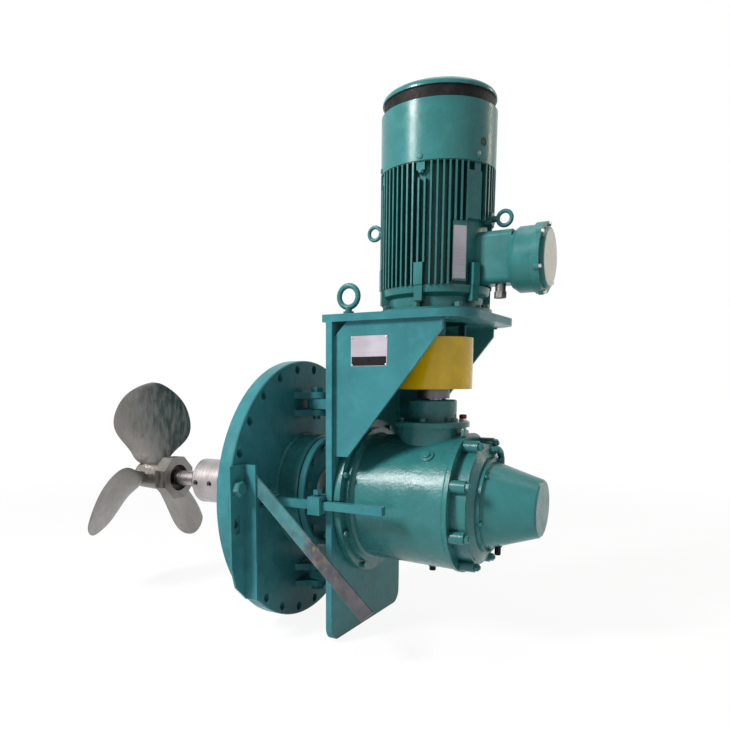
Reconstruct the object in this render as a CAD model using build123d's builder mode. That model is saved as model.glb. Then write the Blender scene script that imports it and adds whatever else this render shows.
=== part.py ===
# Side entry tank mixer: swivel mounting flange, plate-hung bevel gearbox, vertical flameproof motor, propeller.
# X runs along the propeller shaft (tank side is -X), Z is up, the origin is the centre of the flange's outer face.
import os
from math import atan, cos, pi, radians, sin, sqrt, tan

from build123d import *

os.makedirs("parts", exist_ok=True)

# Mounting flange: DN700 PN10 drilling
FLANGE_R = 447.5
FLANGE_T = 50
BOLT_CIRCLE_R = FLANGE_R - 27.5
BOLT_HOLES = 24
BOLT_HOLE_R = 15
HALF_PITCH = 180 / BOLT_HOLES

# Swivel
SWIVEL_X = 45
SWIVEL_MAX = 25
BALL_R = 95
SEAT_GAP = 0.4
HOUSING_R = 195
HOUSING_L = 80
GASKET_T = 4
CLAMP_T = 21
CLAMP_RIM = 12
CLAMP_RECESS = 12
TUBE_R = 50
TUBE_WALL = 10
PIN_R = 14
PIN_FIT = 0.05
LUG_T = 33
LUG_FACE_Z = 284
LUG_SIDE_GAP = 3
CLEVIS_T = 21
CLEVIS_W = 80
CLEVIS_ROOT = 156
CLEVIS_REACH = 45

# Shaft line
SHAFT_R = 30
SHAFT_FIT = 0.05
SHAFT_REAR_R = 35

# Vertical mounting plate and motor base
PLATE_X = 228
PLATE_T = 20
PLATE_W = 516
PLATE_BOTTOM = -440
PLATE_CORNER_R = 45
BASE_Z = 550
BASE_T = 22
BASE_X0 = 215
BASE_X1 = 663
BASE_CORNER_R = 105
GUSSET_T = 12
GUSSET_FOOT_Z = 150
GUSSET_FOOT = 45
GUSSET_REACH = 337
GUSSET_LIP = 30
GUSSET_CLIP = 42
GUSSET_INSET = 16

# Gearbox
MOTOR_X = 469
BOX_X0 = PLATE_X + PLATE_T
BOX_X1 = 600
BOX_FRONT_R = 252
BOX_FRONT_T = 24
BOX_STEP_R = 226
BOX_STEP_T = 14
BARREL_R0 = 204
BARREL_R1 = 213
CAVITY_R = 184
CAVITY_X0 = BOX_X0 + 42
REAR_FLANGE_R = 218
REAR_FLANGE_T = 12
REAR_DRUM_T = 46
REAR_COVER_T = 62
REAR_COVER_R = 196
REAR_WALL = 14
REAR_LOBES = 8
REAR_LOBE_R = 19
CONE_R0 = 134
CONE_R1 = 88
CONE_END_X = 822
CONE_WALL = 8
SEAT_Z = 235
BOSS_R = 106
CARRIER_FLANGE_R = 116
CARRIER_FLANGE_T = 18
CARRIER_NECK_R = 75
CARRIER_TOP_Z = 319
CARRIER_SPIGOT_R = 61.8
SPIGOT_GAP = 0.2
OUT_BEARING_R = 72
OUT_BEARING_T = 26
IN_BEARING_R = 52
IN_BEARING_T = 30
DRAIN_X = 481
DRAIN_R = 13
DRAIN_L = 6

# Straight bevel pair, apex where the two shaft axes cross
CROWN_TEETH = 43
PINION_TEETH = 12
CROWN_PITCH_R = 150
TOOTH_FACE = 42
TOOTH_SHARE = 0.40
ADDENDUM = 3.6
DEDENDUM = 6.0

# Vertical drive line
PINION_SHAFT_R = 27.5
MOTOR_SHAFT_R = 24
GEAR_HUB_Z0 = CARRIER_TOP_Z + 4
GEAR_HUB_Z1 = 405
SPIDER_T = 20
HUB_R = 52
MOTOR_HUB_Z1 = 490
GUARD_R = 120
GUARD_WALL = 4
GUARD_Z0 = 352
GUARD_Z1 = 507
STRAP_W = 30
STRAP_T = 6
STRAP_LAP = 22

# Motor
MOTOR_FLANGE_R = 172
MOTOR_FLANGE_T = 16
FRAME_Z0 = 650
FRAME_Z1 = 985
FRAME_R = 150
SHIELD_NECK_R = 144
STATOR_R = 128
ROTOR_R = 80
AIR_GAP = 0.8
FIN_R = 170
FIN_T = 5
FIN_STEP = 6
FIN_BOSS_ANGLES = (-146, -86, -26, 34, 94, 154)
BOSS_H = 62
BOSS_CAP_H = 22
PAD_ANGLE = -45
PAD_H = 165
RIB_ANGLE = -29
RIB_W = 50
EYE_Z = 842
EYE_R = 20
EYE_WIRE_R = 6
COWL_R = 170
COWL_WALL = 3
COWL_Z1 = 1150
GRILLE_T = 35
CANOPY_H = 54

# Terminal box, facing away from the tank
BOX_AXIS_Z = 720
NECK_W = 104
NECK_H = 148
NECK_R = 18
NECK_X1 = 712
ROUND_R = 92
ROUND_X1 = 787
BOX_RIM_T = 12
COVER_R = 98
COVER_RIM_T = 13
COVER_T = 23
COVER_FACE_R = 83
DISC_R = 77
COVER_LOBES = 6
COVER_LOBE_R = 10
INLET_X = 677
INLET_Y = -18
INLET_R = 15
INLET_BORE_R = 10

# Angle bar
BAR_OFFSET = 272
BAR_W = 25
BAR_END_X = 430
BAR_PIN_R = 8
BAR_CLEAR = 2
EAR_T = 8
CLAMP_W = 42
CLAMP_WALL = 13
SCREW_R = 8

# Post and brace on the near side
POST_FACE_Y = 74.5 - FLANGE_R
POST_W = 75
POST_LEG = 50
POST_T = 7
POST_TOP = 125
POST_BOTTOM = -305
BRACE_W = 48
BRACE_T = 8
BRACE_END_X = 430
BRACE_END_Z = -293

# Propeller
PROP_R = 377
PROP_X = -751
PITCH = 968
PITCH_GAIN = 1.32
BLADES = 3
BLADE_TURN = 81.8
BLADE_SKEW = (-45, 59)
BLADE_RAKE = (-59, 70)
BOSS_RING_R = 88
BOSS_RING_SIDES = 8
BOSS_RING_BORE = 52
BOSS_RING_T = 52
BOSS_RING_X = PROP_X + 103
SLEEVE_R = 84
SLEEVE_X0 = -485
SLEEVE_X1 = -330
SLEEVE_CHAMFER = 28

APEX = (MOTOR_X, 0, 0)
BALL_CENTRE = (SWIVEL_X, 0, 0)
CLAMP_X0 = HOUSING_L + GASKET_T
CLAMP_X1 = CLAMP_X0 + CLAMP_T


# ---------------------------------------------------------------- fixed mount

with BuildPart() as mounting_flange:
    seat_r = sqrt(BALL_R**2 - SWIVEL_X**2)
    with BuildSketch(Plane.XZ):
        Polygon(
            (-FLANGE_T, seat_r + 18),
            (-FLANGE_T, FLANGE_R - 3),
            (-FLANGE_T + 3, FLANGE_R),
            (-3, FLANGE_R),
            (0, FLANGE_R - 3),
            (0, seat_r + 2),
            align=None,
        )
    revolve(axis=Axis.X)
    with BuildSketch(Plane.YZ.offset(-FLANGE_T)):
        with PolarLocations(BOLT_CIRCLE_R, BOLT_HOLES, start_angle=HALF_PITCH):
            Circle(BOLT_HOLE_R)
    extrude(amount=FLANGE_T, mode=Mode.SUBTRACT)

with BuildPart() as ball_housing:
    with BuildSketch(Plane.XZ):
        Polygon(
            (0, 20),
            (0, HOUSING_R),
            (HOUSING_L - 4, HOUSING_R),
            (HOUSING_L, HOUSING_R - 4),
            (HOUSING_L, 20),
            align=None,
        )
    revolve(axis=Axis.X)
    with Locations(BALL_CENTRE):
        Sphere(BALL_R + SEAT_GAP, mode=Mode.SUBTRACT)
    with BuildSketch(Plane.YZ.offset(SWIVEL_X)):
        Circle(BALL_R + SEAT_GAP)
    extrude(amount=HOUSING_L, mode=Mode.SUBTRACT)

with BuildPart() as housing_gasket:
    with BuildSketch(Plane.YZ.offset(HOUSING_L)):
        Circle(HOUSING_R - 12)
        Circle(BALL_R + 8, mode=Mode.SUBTRACT)
    extrude(amount=GASKET_T)

with BuildPart() as clamp_ring:
    ring_bore = sqrt(BALL_R**2 - (CLAMP_X0 - SWIVEL_X) ** 2) + SEAT_GAP
    with BuildSketch(Plane.XZ):
        Polygon(
            (CLAMP_X0, ring_bore),
            (CLAMP_X0, HOUSING_R - 5),
            (CLAMP_X1 - 3, HOUSING_R - 5),
            (CLAMP_X1, HOUSING_R - 8),
            (CLAMP_X1, HOUSING_R - 5 - CLAMP_RIM),
            (CLAMP_X1 - CLAMP_RECESS, HOUSING_R - 8 - CLAMP_RIM),
            (CLAMP_X1 - CLAMP_RECESS, ring_bore),
            align=None,
        )
    revolve(axis=Axis.X)

with BuildPart() as ring_bolts:
    with BuildSketch(Plane.YZ.offset(CLAMP_X1 - CLAMP_RECESS)):
        with PolarLocations(157, 12, start_angle=15):
            RegularPolygon(13, 6)
    extrude(amount=10)

# Clevises above and below the ball: two ears each, welded to the flange face
for side, label in ((1, "top"), (-1, "bottom")):
    ear_z = (LUG_FACE_Z - LUG_SIDE_GAP - CLEVIS_T, LUG_FACE_Z + LUG_T + LUG_SIDE_GAP)
    with BuildPart() as clevis:
        for z in ear_z:
            low = z if side > 0 else -z - CLEVIS_T
            with BuildSketch(Plane.XY.offset(low)):
                Polygon(
                    (0, -CLEVIS_ROOT / 2),
                    (SWIVEL_X, -CLEVIS_W / 2),
                    (SWIVEL_X, CLEVIS_W / 2),
                    (0, CLEVIS_ROOT / 2),
                    align=None,
                )
                with Locations((SWIVEL_X, 0)):
                    Circle(CLEVIS_W / 2)
                    Circle(PIN_R, mode=Mode.SUBTRACT)
            extrude(amount=CLEVIS_T)
    clevis.part.label = f"clevis_{label}"
    export_step(clevis.part, f"parts/clevis_{label}.step")

    with BuildPart() as swivel_pin:
        pin_z0 = ear_z[0] - 12
        pin_z1 = ear_z[1] + CLEVIS_T
        low = pin_z0 if side > 0 else -pin_z1
        with BuildSketch(Plane.XY.offset(low)):
            with Locations((SWIVEL_X, 0)):
                Circle(PIN_R)
        extrude(amount=pin_z1 - pin_z0)
        head_z = pin_z1 if side > 0 else -pin_z1 - 16
        with BuildSketch(Plane.XY.offset(head_z)):
            with Locations((SWIVEL_X, 0)):
                RegularPolygon(24, 6)
        extrude(amount=16)
    swivel_pin.part.label = f"swivel_pin_{label}"
    export_step(swivel_pin.part, f"parts/swivel_pin_{label}.step")

    with BuildPart() as swivel_lug:
        low = LUG_FACE_Z if side > 0 else -LUG_FACE_Z - LUG_T
        with BuildSketch(Plane.XY.offset(low)):
            Polygon((SWIVEL_X, -33), (SWIVEL_X, 33), (PLATE_X, 45), (PLATE_X, -45), align=None)
            with Locations((SWIVEL_X, 0)):
                Circle(33)
                Circle(PIN_R + PIN_FIT, mode=Mode.SUBTRACT)
        extrude(amount=LUG_T)
    swivel_lug.part.label = f"swivel_lug_{label}"
    export_step(swivel_lug.part, f"parts/swivel_lug_{label}.step")

with BuildPart() as angle_post:
    edge_y = POST_FACE_Y - POST_W
    hole_y = -BOLT_CIRCLE_R * cos(radians(HALF_PITCH))
    hole_z = BOLT_CIRCLE_R * sin(radians(HALF_PITCH))
    with BuildSketch(Plane.YZ):
        Polygon(
            (edge_y, POST_TOP),
            (POST_FACE_Y, POST_TOP),
            (POST_FACE_Y, POST_BOTTOM),
            (edge_y + 20, POST_BOTTOM + 50),
            (edge_y, POST_BOTTOM + 115),
            align=None,
        )
        with Locations((hole_y, hole_z)):
            Circle(BOLT_HOLE_R, mode=Mode.SUBTRACT)
        with Locations((hole_y, -hole_z)):
            SlotOverall(66, 2 * BOLT_HOLE_R, rotation=90, mode=Mode.SUBTRACT)
    extrude(amount=POST_T)
    with BuildSketch(Plane.YZ.offset(POST_T)):
        Polygon(
            (POST_FACE_Y - POST_T, POST_TOP),
            (POST_FACE_Y, POST_TOP),
            (POST_FACE_Y, POST_BOTTOM),
            (POST_FACE_Y - POST_T, POST_BOTTOM + 5),
            align=None,
        )
    extrude(amount=POST_LEG - POST_T)

with BuildPart() as diagonal_brace:
    dx = BRACE_END_X - 8
    dz = POST_TOP - 30 - BRACE_END_Z
    run = sqrt(dx**2 + dz**2)
    ux = dx / run
    uz = -dz / run
    half = BRACE_W / 2
    with BuildSketch(Plane.XZ.offset(-POST_FACE_Y)):
        Polygon(
            (8 - uz * half, POST_TOP - 30 + ux * half),
            (BRACE_END_X - uz * half, BRACE_END_Z + ux * half),
            (BRACE_END_X + uz * half, BRACE_END_Z - ux * half),
            (8, POST_TOP - 30 - ux * half - 8),
            align=None,
        )
    extrude(amount=-BRACE_T)

with BuildPart() as bar_lug:
    for z in (BAR_W / 2 + BAR_CLEAR, -BAR_W / 2 - BAR_CLEAR - EAR_T):
        with BuildSketch(Plane.XY.offset(z)):
            Polygon(
                (0, -BAR_OFFSET - 18),
                (SWIVEL_X, -BAR_OFFSET - 18),
                (SWIVEL_X, -BAR_OFFSET + 18),
                (0, -BAR_OFFSET + 18),
                align=None,
            )
            with Locations((SWIVEL_X, -BAR_OFFSET)):
                Circle(18)
                Circle(BAR_PIN_R, mode=Mode.SUBTRACT)
        extrude(amount=EAR_T)

with BuildPart() as bar_pin:
    reach = BAR_W / 2 + BAR_CLEAR + EAR_T
    with BuildSketch(Plane.XY.offset(-reach - 14)):
        with Locations((SWIVEL_X, -BAR_OFFSET)):
            Circle(BAR_PIN_R)
    extrude(amount=2 * reach + 14)
    for z in (reach, -reach - 10):
        with BuildSketch(Plane.XY.offset(z)):
            with Locations((SWIVEL_X, -BAR_OFFSET)):
                RegularPolygon(14, 6)
        extrude(amount=10)

# ---------------------------------------------------------------- angle bar and its lock screw

with BuildPart() as angle_bar:
    with BuildSketch(Plane.XY.offset(-BAR_W / 2)):
        Polygon(
            (SWIVEL_X, -BAR_OFFSET - BAR_W / 2),
            (BAR_END_X, -BAR_OFFSET - BAR_W / 2),
            (BAR_END_X, -BAR_OFFSET + BAR_W / 2),
            (SWIVEL_X, -BAR_OFFSET + BAR_W / 2),
            align=None,
        )
        with Locations((SWIVEL_X, -BAR_OFFSET)):
            Circle(BAR_W / 2)
            Circle(BAR_PIN_R + PIN_FIT, mode=Mode.SUBTRACT)
    extrude(amount=BAR_W)

window_y0 = -BAR_OFFSET - BAR_W / 2 - BAR_CLEAR
window_y1 = -BAR_OFFSET * cos(radians(SWIVEL_MAX)) + BAR_W / 2 + BAR_CLEAR
window_h = BAR_W + 2 * BAR_CLEAR
screw_x = PLATE_X - CLAMP_W / 2
block_top = window_h / 2 + CLAMP_WALL

with BuildPart() as clamp_block:
    with BuildSketch(Plane.YZ.offset(PLATE_X - CLAMP_W)):
        Polygon(
            (window_y0 - CLAMP_WALL, -block_top),
            (window_y1 + CLAMP_WALL, -block_top),
            (window_y1 + CLAMP_WALL, block_top),
            (window_y0 - CLAMP_WALL, block_top),
            align=None,
        )
        Polygon(
            (window_y0, -window_h / 2),
            (window_y1, -window_h / 2),
            (window_y1, window_h / 2),
            (window_y0, window_h / 2),
            align=None,
            mode=Mode.SUBTRACT,
        )
    extrude(amount=CLAMP_W)
    with BuildSketch(Plane.XY.offset(0)):
        with Locations((screw_x, -BAR_OFFSET)):
            Circle(SCREW_R + PIN_FIT)
    extrude(amount=block_top, mode=Mode.SUBTRACT)

with BuildPart() as lock_screw:
    with BuildSketch(Plane.XY.offset(BAR_W / 2 + 0.4)):
        with Locations((screw_x, -BAR_OFFSET)):
            Circle(SCREW_R)
    extrude(amount=block_top - BAR_W / 2 + 6)
    with BuildSketch(Plane.XY.offset(block_top + 6)):
        with Locations((screw_x, -BAR_OFFSET)):
            RegularPolygon(15, 6)
    extrude(amount=14)

# ---------------------------------------------------------------- swivelling head

with BuildPart() as swivel_ball:
    with Locations(BALL_CENTRE):
        Sphere(BALL_R)
    with BuildSketch(Plane.YZ.offset(SWIVEL_X - BALL_R)):
        Circle(SHAFT_R + 8)
    extrude(amount=2 * BALL_R, mode=Mode.SUBTRACT)
    with BuildSketch(Plane.YZ.offset(SWIVEL_X + 55)):
        Circle(TUBE_R)
    extrude(amount=BALL_R, mode=Mode.SUBTRACT)

with BuildPart() as shaft_bush:
    with BuildSketch(Plane.YZ.offset(SWIVEL_X - 60)):
        Circle(SHAFT_R + 8)
        Circle(SHAFT_R + SHAFT_FIT, mode=Mode.SUBTRACT)
    extrude(amount=100)

with BuildPart() as neck_tube:
    with BuildSketch(Plane.YZ.offset(SWIVEL_X + 55)):
        Circle(TUBE_R)
        Circle(TUBE_R - TUBE_WALL, mode=Mode.SUBTRACT)
    extrude(amount=BOX_X0 - SWIVEL_X - 55)

with BuildPart() as mounting_plate:
    with BuildSketch(Plane.YZ.offset(PLATE_X)):
        with Locations((0, (BASE_Z + PLATE_BOTTOM) / 2)):
            Rectangle(PLATE_W, BASE_Z - PLATE_BOTTOM)
        fillet(vertices().sort_by(Axis.Y)[:2], PLATE_CORNER_R)
        Circle(TUBE_R, mode=Mode.SUBTRACT)
        Polygon(
            (-PLATE_W / 2 - 1, -window_h / 2),
            (window_y1, -window_h / 2),
            (window_y1, window_h / 2),
            (-PLATE_W / 2 - 1, window_h / 2),
            align=None,
            mode=Mode.SUBTRACT,
        )
    extrude(amount=PLATE_T)

with BuildPart() as motor_base:
    with BuildSketch(Plane.XY.offset(BASE_Z)):
        with Locations(((BASE_X0 + BASE_X1) / 2, 0)):
            Rectangle(BASE_X1 - BASE_X0, PLATE_W)
        fillet(vertices().sort_by(Axis.X)[-2:], BASE_CORNER_R)
        with Locations((MOTOR_X, 0)):
            Circle(100, mode=Mode.SUBTRACT)
    extrude(amount=BASE_T)

gusset_y = PLATE_W / 2 - GUSSET_INSET
for label, y in (("near", gusset_y), ("far", GUSSET_T - gusset_y)):
    with BuildPart() as gusset:
        with BuildSketch(Plane.XZ.offset(y)):
            Polygon(
                (BOX_X0, GUSSET_FOOT_Z),
                (BOX_X0 + GUSSET_FOOT, GUSSET_FOOT_Z),
                (BOX_X0 + GUSSET_REACH, BASE_Z - GUSSET_LIP),
                (BOX_X0 + GUSSET_REACH, BASE_Z),
                (BOX_X0 + GUSSET_CLIP, BASE_Z),
                (BOX_X0, BASE_Z - GUSSET_CLIP),
                align=None,
            )
        extrude(amount=-GUSSET_T)
    gusset.part.label = f"gusset_{label}"
    export_step(gusset.part, f"parts/gusset_{label}.step")

with BuildPart() as gearbox_housing:
    with BuildSketch(Plane.XZ):
        Polygon(
            (BOX_X0, 0),
            (BOX_X0, BOX_FRONT_R - 3),
            (BOX_X0 + 3, BOX_FRONT_R),
            (BOX_X0 + BOX_FRONT_T, BOX_FRONT_R),
            (BOX_X0 + BOX_FRONT_T, BOX_STEP_R),
            (BOX_X0 + BOX_FRONT_T + BOX_STEP_T, BOX_STEP_R),
            (BOX_X0 + BOX_FRONT_T + BOX_STEP_T, BARREL_R0 + 6),
            (BOX_X0 + BOX_FRONT_T + BOX_STEP_T + 8, BARREL_R0),
            (BOX_X1 - REAR_FLANGE_T - 6, BARREL_R1),
            (BOX_X1 - REAR_FLANGE_T, REAR_FLANGE_R),
            (BOX_X1, REAR_FLANGE_R),
            (BOX_X1, 0),
            align=None,
        )
    revolve(axis=Axis.X)
    with BuildSketch(Plane.XY.offset(120)):
        with Locations((MOTOR_X, 0)):
            Circle(BOSS_R)
    extrude(amount=SEAT_Z - 120)
    with BuildSketch(Plane.YZ.offset(CAVITY_X0)):
        Circle(CAVITY_R)
    extrude(amount=BOX_X1 - CAVITY_X0, mode=Mode.SUBTRACT)
    with BuildSketch(Plane.YZ.offset(BOX_X0)):
        Circle(OUT_BEARING_R)
    extrude(amount=CAVITY_X0 - BOX_X0, mode=Mode.SUBTRACT)
    with BuildSketch(Plane.XY.offset(100)):
        with Locations((MOTOR_X, 0)):
            Circle(CARRIER_SPIGOT_R + SPIGOT_GAP)
    extrude(amount=SEAT_Z, mode=Mode.SUBTRACT)
    with BuildSketch(Plane.XY.offset(-BARREL_R1 - DRAIN_L)):
        with Locations((DRAIN_X, 0)):
            Circle(DRAIN_R)
    extrude(amount=DRAIN_L + 12)
    # the angle bar swings into this notch at the ends of the swivel
    with BuildSketch(Plane.YZ.offset(BOX_X0)):
        Polygon(
            (-PLATE_W / 2 - 1, -window_h / 2),
            (window_y1, -window_h / 2),
            (window_y1, window_h / 2),
            (-PLATE_W / 2 - 1, window_h / 2),
            align=None,
        )
    extrude(amount=BOX_FRONT_T, mode=Mode.SUBTRACT)

with BuildPart() as output_bearings:
    for x in (CAVITY_X0 - OUT_BEARING_T - 4, BOX_X1 + 6):
        with BuildSketch(Plane.YZ.offset(x)):
            Circle(OUT_BEARING_R)
            Circle(SHAFT_REAR_R + SHAFT_FIT, mode=Mode.SUBTRACT)
        extrude(amount=OUT_BEARING_T)

with BuildPart() as rear_cover:
    with BuildSketch(Plane.YZ.offset(BOX_X1)):
        Circle(REAR_COVER_R - 10)
        with PolarLocations(REAR_COVER_R, REAR_LOBES, start_angle=180 / REAR_LOBES):
            Circle(REAR_LOBE_R)
    extrude(amount=REAR_DRUM_T)
    with BuildSketch(Plane.XZ):
        Polygon(
            (BOX_X1 + REAR_DRUM_T, 0),
            (BOX_X1 + REAR_DRUM_T, REAR_COVER_R - 14),
            (BOX_X1 + REAR_DRUM_T + 4, REAR_COVER_R - 18),
            (BOX_X1 + REAR_COVER_T, CONE_R0 + 20),
            (BOX_X1 + REAR_COVER_T, 0),
            align=None,
        )
    revolve(axis=Axis.X)
    with BuildSketch(Plane.YZ.offset(BOX_X1)):
        Circle(REAR_COVER_R - 10 - REAR_WALL)
        Circle(OUT_BEARING_R + REAR_WALL, mode=Mode.SUBTRACT)
    extrude(amount=REAR_DRUM_T - REAR_WALL, mode=Mode.SUBTRACT)
    with BuildSketch(Plane.YZ.offset(BOX_X1)):
        Circle(OUT_BEARING_R)
    extrude(amount=REAR_COVER_T, mode=Mode.SUBTRACT)

with BuildPart() as rear_cone:
    cone_x0 = BOX_X1 + REAR_COVER_T
    with BuildSketch(Plane.XZ):
        Polygon(
            (cone_x0, CONE_R0 - 20),
            (cone_x0, CONE_R0 + 12),
            (cone_x0 + 12, CONE_R0 + 12),
            (cone_x0 + 12, CONE_R0),
            (CONE_END_X - 5, CONE_R1),
            (CONE_END_X, CONE_R1 - 5),
            (CONE_END_X, 0),
            (CONE_END_X - CONE_WALL, 0),
            (CONE_END_X - CONE_WALL, CONE_R1 - CONE_WALL - 2),
            (cone_x0 + 12, CONE_R0 - CONE_WALL - 10),
            align=None,
        )
    revolve(axis=Axis.X)

with BuildPart() as input_carrier:
    with BuildSketch(Plane.XZ):
        Polygon(
            (IN_BEARING_R, 170),
            (CARRIER_SPIGOT_R, 170),
            (CARRIER_SPIGOT_R, SEAT_Z),
            (CARRIER_FLANGE_R, SEAT_Z),
            (CARRIER_FLANGE_R, SEAT_Z + CARRIER_FLANGE_T - 3),
            (CARRIER_FLANGE_R - 3, SEAT_Z + CARRIER_FLANGE_T),
            (CARRIER_NECK_R, SEAT_Z + CARRIER_FLANGE_T),
            (CARRIER_NECK_R, CARRIER_TOP_Z - 4),
            (CARRIER_NECK_R - 4, CARRIER_TOP_Z),
            (PINION_SHAFT_R + 6, CARRIER_TOP_Z),
            (PINION_SHAFT_R + 6, CARRIER_TOP_Z - 12),
            (IN_BEARING_R, CARRIER_TOP_Z - 12),
            align=None,
        )
    revolve(axis=Axis.Z)

with BuildPart() as input_bearings:
    for z in (172, CARRIER_TOP_Z - 12 - IN_BEARING_T):
        with BuildSketch(Plane.XY.offset(z)):
            Circle(IN_BEARING_R)
            Circle(PINION_SHAFT_R + SHAFT_FIT, mode=Mode.SUBTRACT)
        extrude(amount=IN_BEARING_T)

with BuildPart() as guard_carrier:
    strap_r = GUARD_R - GUARD_WALL
    with BuildSketch(Plane.XY.offset(GUARD_Z1 - STRAP_LAP)):
        with PolarLocations(strap_r - STRAP_T / 2, 3, start_angle=60):
            Rectangle(2 * STRAP_T, STRAP_W)
        Circle(strap_r, mode=Mode.INTERSECT)
        Circle(strap_r - STRAP_T, mode=Mode.SUBTRACT)
    extrude(amount=BASE_Z - GUARD_Z1 + STRAP_LAP)

with BuildPart() as coupling_guard:
    with BuildSketch(Plane.XY.offset(GUARD_Z0)):
        Circle(GUARD_R)
        Circle(GUARD_R - GUARD_WALL, mode=Mode.SUBTRACT)
    extrude(amount=GUARD_Z1 - GUARD_Z0)

# Motor: shield with flange, finned frame, top shield, cowl, grille ring and rain canopy
with BuildPart() as drive_shield:
    shield_z = BASE_Z + BASE_T
    with BuildSketch(Plane.XZ):
        Polygon(
            (MOTOR_SHAFT_R + 20, shield_z),
            (MOTOR_FLANGE_R, shield_z),
            (MOTOR_FLANGE_R, shield_z + MOTOR_FLANGE_T),
            (SHIELD_NECK_R, shield_z + MOTOR_FLANGE_T),
            (SHIELD_NECK_R, FRAME_Z0 - 30),
            (FRAME_R + 10, FRAME_Z0 - 20),
            (FRAME_R + 13, FRAME_Z0),
            (PINION_SHAFT_R + SHAFT_FIT, FRAME_Z0),
            (PINION_SHAFT_R + SHAFT_FIT, FRAME_Z0 - 30),
            (MOTOR_SHAFT_R + 20, FRAME_Z0 - 30),
            align=None,
        )
    revolve(axis=Axis.Z)
    for angle in FIN_BOSS_ANGLES:
        with BuildSketch(Plane.XY.offset(FRAME_Z0 - 44)):
            with Locations(Rot(0, 0, angle) * Pos(FRAME_R + 6, 0)):
                Rectangle(26, 24)
        extrude(amount=44)

box_top = BOX_AXIS_Z + 9 + NECK_H / 2
fin_spans = {
    "full": (FRAME_Z0, FRAME_Z1),
    "boss": (FRAME_Z0 + BOSS_H, FRAME_Z1 - 2 * BOSS_CAP_H),
    "pad": (FRAME_Z0 + 10 + PAD_H, FRAME_Z1),
    "box": (box_top + 30, FRAME_Z1),
}
fin_angles = {"full": [], "boss": [], "pad": [], "box": []}
for k in range(360 // FIN_STEP):
    angle = -177 + k * FIN_STEP
    if abs(angle - RIB_ANGLE) < 10 or abs(abs(angle) - 180) < 7:
        continue
    if any(abs(angle - boss) < 7 for boss in FIN_BOSS_ANGLES):
        fin_angles["boss"].append(angle)
    elif abs(angle - PAD_ANGLE) < 7:
        fin_angles["pad"].append(angle)
    elif abs(angle) < 31:
        fin_angles["box"].append(angle)
    else:
        fin_angles["full"].append(angle)

with BuildPart() as motor_frame:
    with BuildSketch(Plane.XY.offset(FRAME_Z0)):
        Circle(FRAME_R)
        Circle(STATOR_R, mode=Mode.SUBTRACT)
    extrude(amount=FRAME_Z1 - FRAME_Z0)
    for kind, angles in fin_angles.items():
        low, high = fin_spans[kind]
        with BuildSketch(Plane.XY.offset(low)):
            for angle in angles:
                with Locations(Rot(0, 0, angle) * Pos((FRAME_R + FIN_R) / 2 - 2, 0)):
                    Rectangle(FIN_R - FRAME_R + 4, FIN_T)
        extrude(amount=high - low)
    for angle in FIN_BOSS_ANGLES:
        with BuildSketch(Plane.XY.offset(FRAME_Z0)):
            with Locations(Rot(0, 0, angle) * Pos(FRAME_R + 8, 0)):
                Rectangle(28, 26)
        extrude(amount=BOSS_H)
        with BuildSketch(Plane.XY.offset(FRAME_Z1 - BOSS_CAP_H)):
            with Locations(Rot(0, 0, angle) * Pos(FRAME_R + 4, 0)):
                Rectangle(20, 24)
        extrude(amount=BOSS_CAP_H)
    with BuildSketch(Plane.XY.offset(FRAME_Z0 + 10)):
        with Locations(Rot(0, 0, PAD_ANGLE) * Pos(FRAME_R + 4, 0)):
            Rectangle(18, 44)
    extrude(amount=PAD_H)
    with BuildSketch(Plane.XY.offset(box_top + 30)):
        with Locations(Rot(0, 0, RIB_ANGLE) * Pos(FRAME_R + 6, 0)):
            Rectangle(16, RIB_W)
    extrude(amount=FRAME_Z1 - BOSS_CAP_H - box_top - 30)
    for side in (1, -1):
        with BuildSketch(Plane.YZ.offset(side * (FRAME_R - 4))):
            with Locations((0, EYE_Z)):
                Circle(19)
        extrude(amount=side * 28)

with BuildPart() as stator:
    with BuildSketch(Plane.XY.offset(680)):
        Circle(STATOR_R)
        Circle(ROTOR_R + AIR_GAP, mode=Mode.SUBTRACT)
    extrude(amount=260)

with BuildPart() as top_shield:
    with BuildSketch(Plane.XY.offset(FRAME_Z1)):
        Circle(COWL_R - COWL_WALL)
        Circle(PINION_SHAFT_R + SHAFT_FIT, mode=Mode.SUBTRACT)
    extrude(amount=22)

with BuildPart() as fan_cowl:
    with BuildSketch(Plane.XY.offset(FRAME_Z1 + 2)):
        Circle(COWL_R)
        Circle(COWL_R - COWL_WALL, mode=Mode.SUBTRACT)
    extrude(amount=COWL_Z1 - FRAME_Z1 - 2)
    with BuildSketch(Plane.XY.offset(COWL_Z1 - COWL_WALL)):
        Circle(COWL_R - COWL_WALL)
        Circle(120, mode=Mode.SUBTRACT)
    extrude(amount=COWL_WALL)

with BuildPart() as inlet_grille:
    with BuildSketch(Plane.XY.offset(COWL_Z1)):
        Circle(COWL_R - 8)
        Circle(COWL_R - 14, mode=Mode.SUBTRACT)
    extrude(amount=GRILLE_T)

with BuildPart() as canopy:
    rim_z = COWL_Z1 + GRILLE_T
    with BuildSketch(Plane.XZ):
        with BuildLine():
            Polyline((0, rim_z), (COWL_R - 3, rim_z), (COWL_R - 3, rim_z + 5))
            Spline(
                (COWL_R - 3, rim_z + 5),
                (COWL_R - 22, rim_z + 0.40 * CANOPY_H),
                (COWL_R - 75, rim_z + 0.78 * CANOPY_H),
                (0, rim_z + CANOPY_H),
                tangents=[(-0.2, 1), (-1, 0)],
            )
            Line((0, rim_z + CANOPY_H), (0, rim_z))
        make_face()
    revolve(axis=Axis.Z)

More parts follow.
